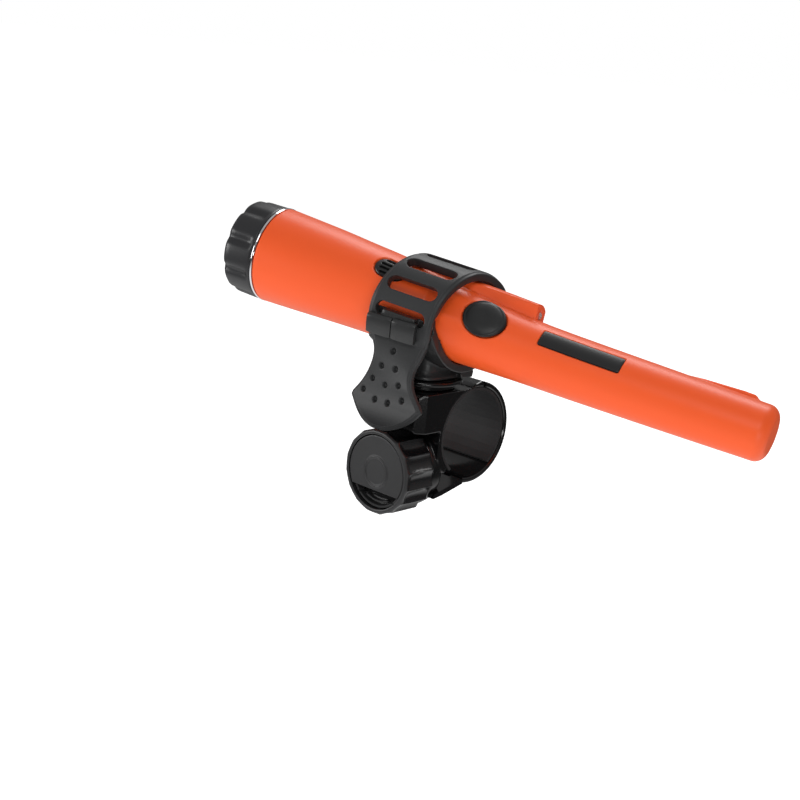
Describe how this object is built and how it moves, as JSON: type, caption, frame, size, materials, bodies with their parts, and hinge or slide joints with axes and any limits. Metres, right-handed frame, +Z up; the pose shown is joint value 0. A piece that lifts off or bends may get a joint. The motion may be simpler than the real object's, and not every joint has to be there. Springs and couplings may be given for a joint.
{
  "type": "pinpointer probe",
  "caption": "Hand-held metal pinpointer probe strapped in a swivelling cradle on a dial-tightened pole clamp.",
  "frame": {"origin": "middle of the liner's top land, on the crown of the pole; the pole's axis is 17 mm below it", "axes": "+X along the pole towards the probe's tip, -Y towards the dial knob and the strap's pull tab, +Z up"},
  "size_m": [0.218, 0.085, 0.1085],
  "materials": {
    "clamp_block": "gloss moulded",
    "clamp_band": "gloss moulded",
    "clamp_liner": "matte",
    "knob_plug": "fine matte face",
    "swivel_screw": "brushed",
    "friction_washer": "brushed",
    "dial_knob": "fine matte face",
    "band_tongue": "gloss moulded",
    "swivel_disc": "gloss moulded",
    "cradle": "gloss moulded",
    "cradle_pad": "matte",
    "strap": "matte",
    "anchor_pin": "brushed",
    "strap_pull_tab": "matte",
    "housing": "satin moulded plastic",
    "trim_ring": "polished",
    "cap_o_ring": "matte",
    "name_plate": "satin",
    "speaker_grille": "satin",
    "speaker": "plated",
    "battery_9v": "satin jacket",
    "battery_stud_plus": "plated",
    "battery_stud_minus": "plated",
    "battery_snap_plate": "satin",
    "battery_wire_red": "satin",
    "battery_wire_black": "satin",
    "main_circuit_board": "satin",
    "processor_chip": "matte",
    "filter_capacitor": "satin",
    "vibration_motor": "brushed",
    "vibration_weight": "brushed",
    "button_switch": "satin",
    "speaker_wire": "satin",
    "lamp_led": "clear",
    "lamp_lens": "clear",
    "lamp_wire": "satin",
    "ferrite_rod": "matte",
    "coil_bobbin_rear": "matte",
    "coil_bobbin_front": "matte",
    "search_coil": "enamelled wire",
    "coil_lead": "enamelled wire",
    "battery_pad": "open cell",
    "battery_cap": "satin",
    "power_button": "matte"
  },
  "bodies": {
    "clamp": {"clamp_block": "clamp_block", "clamp_band": "clamp_band", "clamp_liner": "clamp_liner", "knob_plug": "knob_plug", "swivel_screw": "swivel_screw", "friction_washer": "friction_washer"},
    "dial": {"dial_knob": "dial_knob"},
    "tongue": {"band_tongue": "band_tongue"},
    "holder": {"swivel_disc": "swivel_disc", "cradle": "cradle", "cradle_pad": "cradle_pad", "strap": "strap", "anchor_pin": "anchor_pin"},
    "pull_tab": {"strap_pull_tab": "strap_pull_tab"},
    "probe": {"housing": "housing", "trim_ring": "trim_ring", "cap_o_ring": "cap_o_ring", "name_plate": "name_plate", "speaker_grille": "speaker_grille", "speaker": "speaker", "battery_9v": "battery_9v", "battery_stud_plus": "battery_stud_plus", "battery_stud_minus": "battery_stud_minus", "battery_snap_plate": "battery_snap_plate", "battery_wire_red": "battery_wire_red", "battery_wire_black": "battery_wire_black", "main_circuit_board": "main_circuit_board", "processor_chip": "processor_chip", "filter_capacitor": "filter_capacitor", "vibration_motor": "vibration_motor", "vibration_weight": "vibration_weight", "button_switch": "button_switch", "speaker_wire": "speaker_wire", "lamp_led": "lamp_led", "lamp_lens": "lamp_lens", "lamp_wire": "lamp_wire", "ferrite_rod": "ferrite_rod", "coil_bobbin_rear": "coil_bobbin_rear", "coil_bobbin_front": "coil_bobbin_front", "search_coil": "search_coil", "coil_lead": "coil_lead"},
    "cap_insert": {"battery_pad": "battery_pad"},
    "cap": {"battery_cap": "battery_cap"},
    "button": {"power_button": "power_button"}
  },
  "joints": [
    {"name": "swivel", "type": "hinge", "parent": "clamp", "child": "holder", "pos_m": [0, -0.0165, 0.0033], "axis": [0, 0, 1], "range_deg": [-45, 45]},
    {"name": "knob_turn", "type": "hinge", "parent": "clamp", "child": "dial", "pos_m": [0, -0.03, -0.0314], "axis": [0, -1, 0], "range_deg": [0, 1440]},
    {"name": "tongue_draw", "type": "slide", "parent": "clamp", "child": "tongue", "axis": [0, -1, 0], "range_m": [0, 0.008]},
    {"name": "strap_tab_flex", "type": "hinge", "parent": "holder", "child": "pull_tab", "pos_m": [0.0032, -0.0357, 0.0196], "axis": [-0.9536, -0.2651, 0.143], "range_deg": [0, 35], "stiffness_Nm_per_rad": 0.05},
    {"name": "probe_slide", "type": "slide", "parent": "holder", "child": "probe", "axis": [-0.9538, -0.265, 0.1418], "range_m": [0, 0.18]},
    {"name": "cap_back_out", "type": "slide", "parent": "probe", "child": "cap_insert", "axis": [-0.9538, -0.265, 0.1418], "range_m": [0, 0.006]},
    {"name": "cap_turn", "type": "hinge", "parent": "cap_insert", "child": "cap", "pos_m": [-0.06555, -0.03539, 0.0408], "axis": [0.9538, 0.265, -0.1418], "range_deg": [0, 1080]},
    {"name": "button_press", "type": "slide", "parent": "probe", "child": "button", "axis": [-0.2917, 0.7023, -0.6494], "range_m": [0, 0.001], "stiffness_N_per_m": 2000}
  ],
  "couplings": [
    {"joint": "tongue_draw", "follows": "knob_turn", "m_per_rad": 0.00031831},
    {"joint": "cap_back_out", "follows": "cap_turn", "m_per_rad": 0.00031831}
  ]
}
